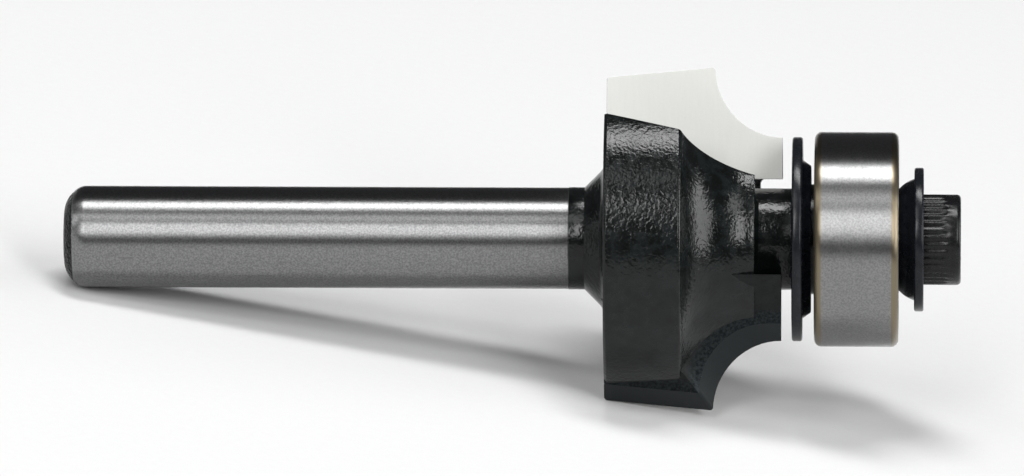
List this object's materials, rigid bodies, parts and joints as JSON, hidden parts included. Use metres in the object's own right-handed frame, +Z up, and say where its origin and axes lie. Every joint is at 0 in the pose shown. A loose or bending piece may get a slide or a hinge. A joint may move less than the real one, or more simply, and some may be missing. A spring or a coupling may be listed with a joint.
{
  "type": "router bit",
  "caption": "Rounding-over router bit with a straight shank, two brazed carbide wings and a ball bearing pilot held by a socket head screw.",
  "frame": {"origin": "middle of the bounding box, on the ground that the bit lies on", "axes": "+Z up, +X along the ground from the shank's end towards the bearing, so the bit's axis rises towards +X"},
  "size_m": [0.053, 0.0184, 0.0187],
  "materials": {
    "cutter_steel": "satin black coating on the head, ground bright on the shank",
    "carbide": "fine ground",
    "washer_steel": "blackened, smooth",
    "bearing_steel": "fine ground, polished",
    "ball_steel": "polished",
    "cage_polymer": "moulded",
    "seal_rubber": "matt",
    "screw_steel": "blackened, knurled head"
  },
  "bodies": {
    "cutter": {"cutter_body": "cutter_steel", "carbide_tip_upper": "carbide", "carbide_tip_lower": "carbide", "rear_washer": "washer_steel", "bearing_inner_ring": "bearing_steel", "front_washer": "washer_steel", "clamp_screw": "screw_steel"},
    "outer_ring": {"bearing_outer_ring": "bearing_steel", "bearing_rear_seal": "seal_rubber", "bearing_front_seal": "seal_rubber"},
    "ball_set": {"bearing_cage": "cage_polymer", "bearing_ball_1": "ball_steel", "bearing_ball_2": "ball_steel", "bearing_ball_3": "ball_steel", "bearing_ball_4": "ball_steel", "bearing_ball_5": "ball_steel", "bearing_ball_6": "ball_steel", "bearing_ball_7": "ball_steel"}
  },
  "joints": [
    {"name": "ring_spin", "type": "hinge", "parent": "cutter", "child": "outer_ring", "pos_m": [0.02001, 0, 0.01112], "axis": [0.9841, 0, 0.1775], "continuous": true},
    {"name": "cage_spin", "type": "hinge", "parent": "cutter", "child": "ball_set", "pos_m": [0.02001, 0, 0.01112], "axis": [0.9841, 0, 0.1775], "continuous": true}
  ],
  "couplings": [
    {"joint": "cage_spin", "follows": "ring_spin", "ratio": 0.63635}
  ]
}
